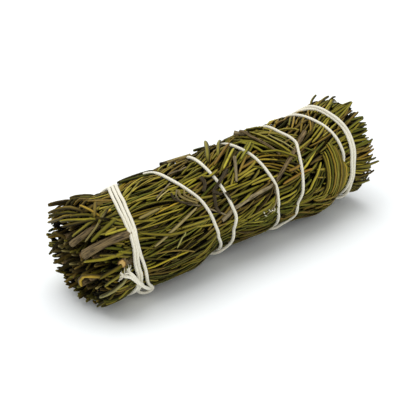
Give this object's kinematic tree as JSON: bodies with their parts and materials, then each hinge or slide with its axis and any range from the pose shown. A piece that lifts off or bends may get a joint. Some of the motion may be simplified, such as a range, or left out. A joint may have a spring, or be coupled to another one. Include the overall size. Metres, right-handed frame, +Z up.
{
  "type": "rosemary bundle",
  "caption": "Dried rosemary sprigs pressed into a round bundle and bound along their length by one criss-crossed cotton string, lying on its side",
  "frame": {"origin": "on the surface the bundle lies on, under the middle of its box", "axes": "+X runs along the bundle from the cut butt end to the needle tips, +Z is up, -Y is the side with the knot"},
  "size_m": [0.1136, 0.0364, 0.0336],
  "materials": {
    "dried_needles": "dry, matte with a faint waxy sheen",
    "stem_wood": "dry bark, cut ends bare",
    "twig_bark": "dry bark",
    "cotton": "twisted, matte"
  },
  "bodies": {
    "root": {"cotton_string": "cotton", "loose_twig_1": "twig_bark", "loose_twig_2": "twig_bark", "sprig_01_leaves": "dried_needles", "sprig_01_stem": "stem_wood", "sprig_02_leaves": "dried_needles", "sprig_02_stem": "stem_wood", "sprig_03_leaves": "dried_needles", "sprig_03_stem": "stem_wood", "sprig_04_leaves": "dried_needles", "sprig_04_stem": "stem_wood", "sprig_05_leaves": "dried_needles", "sprig_05_stem": "stem_wood", "sprig_06_leaves": "dried_needles", "sprig_06_stem": "stem_wood", "sprig_07_leaves": "dried_needles", "sprig_07_stem": "stem_wood", "sprig_08_leaves": "dried_needles", "sprig_08_stem": "stem_wood", "sprig_09_leaves": "dried_needles", "sprig_09_stem": "stem_wood", "sprig_10_leaves": "dried_needles", "sprig_10_stem": "stem_wood", "sprig_11_leaves": "dried_needles", "sprig_11_stem": "stem_wood", "sprig_12_leaves": "dried_needles", "sprig_12_stem": "stem_wood", "sprig_13_leaves": "dried_needles", "sprig_13_stem": "stem_wood", "sprig_14_leaves": "dried_needles", "sprig_14_stem": "stem_wood", "sprig_15_leaves": "dried_needles", "sprig_15_stem": "stem_wood", "sprig_16_leaves": "dried_needles", "sprig_16_stem": "stem_wood", "sprig_17_leaves": "dried_needles", "sprig_17_stem": "stem_wood", "sprig_18_leaves": "dried_needles", "sprig_18_stem": "stem_wood", "sprig_19_leaves": "dried_needles", "sprig_19_stem": "stem_wood"}
  },
  "joints": []
}
